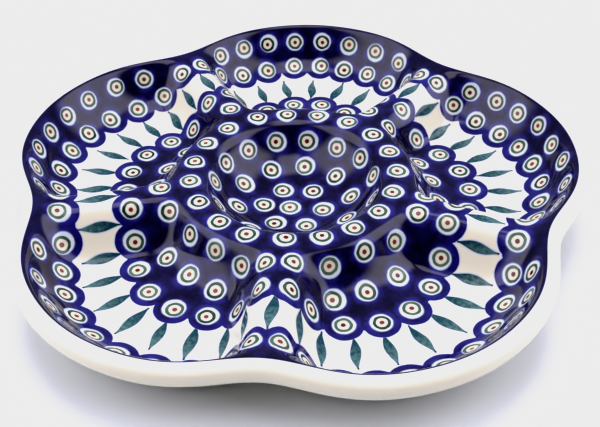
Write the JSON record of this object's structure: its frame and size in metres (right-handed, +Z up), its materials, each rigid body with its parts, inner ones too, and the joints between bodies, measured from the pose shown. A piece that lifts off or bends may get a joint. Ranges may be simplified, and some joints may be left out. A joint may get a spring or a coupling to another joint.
{
  "type": "divided serving tray",
  "caption": "Petal-shaped glazed stoneware serving tray with a central dip bowl, shallow compartments between rounded dividers and a rolled scalloped rim.",
  "frame": {"origin": "centre of the dip bowl's flat base, on the table", "axes": "+Z up along the bowl's axis, +Y towards the tip of one petal, -Y towards the notch opposite it"},
  "size_m": [0.3534, 0.3465, 0.038],
  "materials": {
    "cobalt_glaze": "glossy cobalt-blue underglaze paint with stamped ring eyes under clear glaze",
    "white_glaze": "glossy warm-white clear glaze over pale stoneware, cobalt-painted inside"
  },
  "bodies": {
    "root": {"dip_bowl": "cobalt_glaze", "bowl_collar": "cobalt_glaze", "petal_dish_1": "white_glaze", "divider_1": "cobalt_glaze", "rim_lip_1": "white_glaze", "petal_dish_2": "white_glaze", "divider_2": "cobalt_glaze", "rim_lip_2": "white_glaze", "petal_dish_3": "white_glaze", "divider_3": "cobalt_glaze", "rim_lip_3": "white_glaze", "petal_dish_4": "white_glaze", "divider_4": "cobalt_glaze", "rim_lip_4": "white_glaze", "petal_dish_5": "white_glaze", "divider_5": "cobalt_glaze", "rim_lip_5": "white_glaze"}
  },
  "joints": []
}
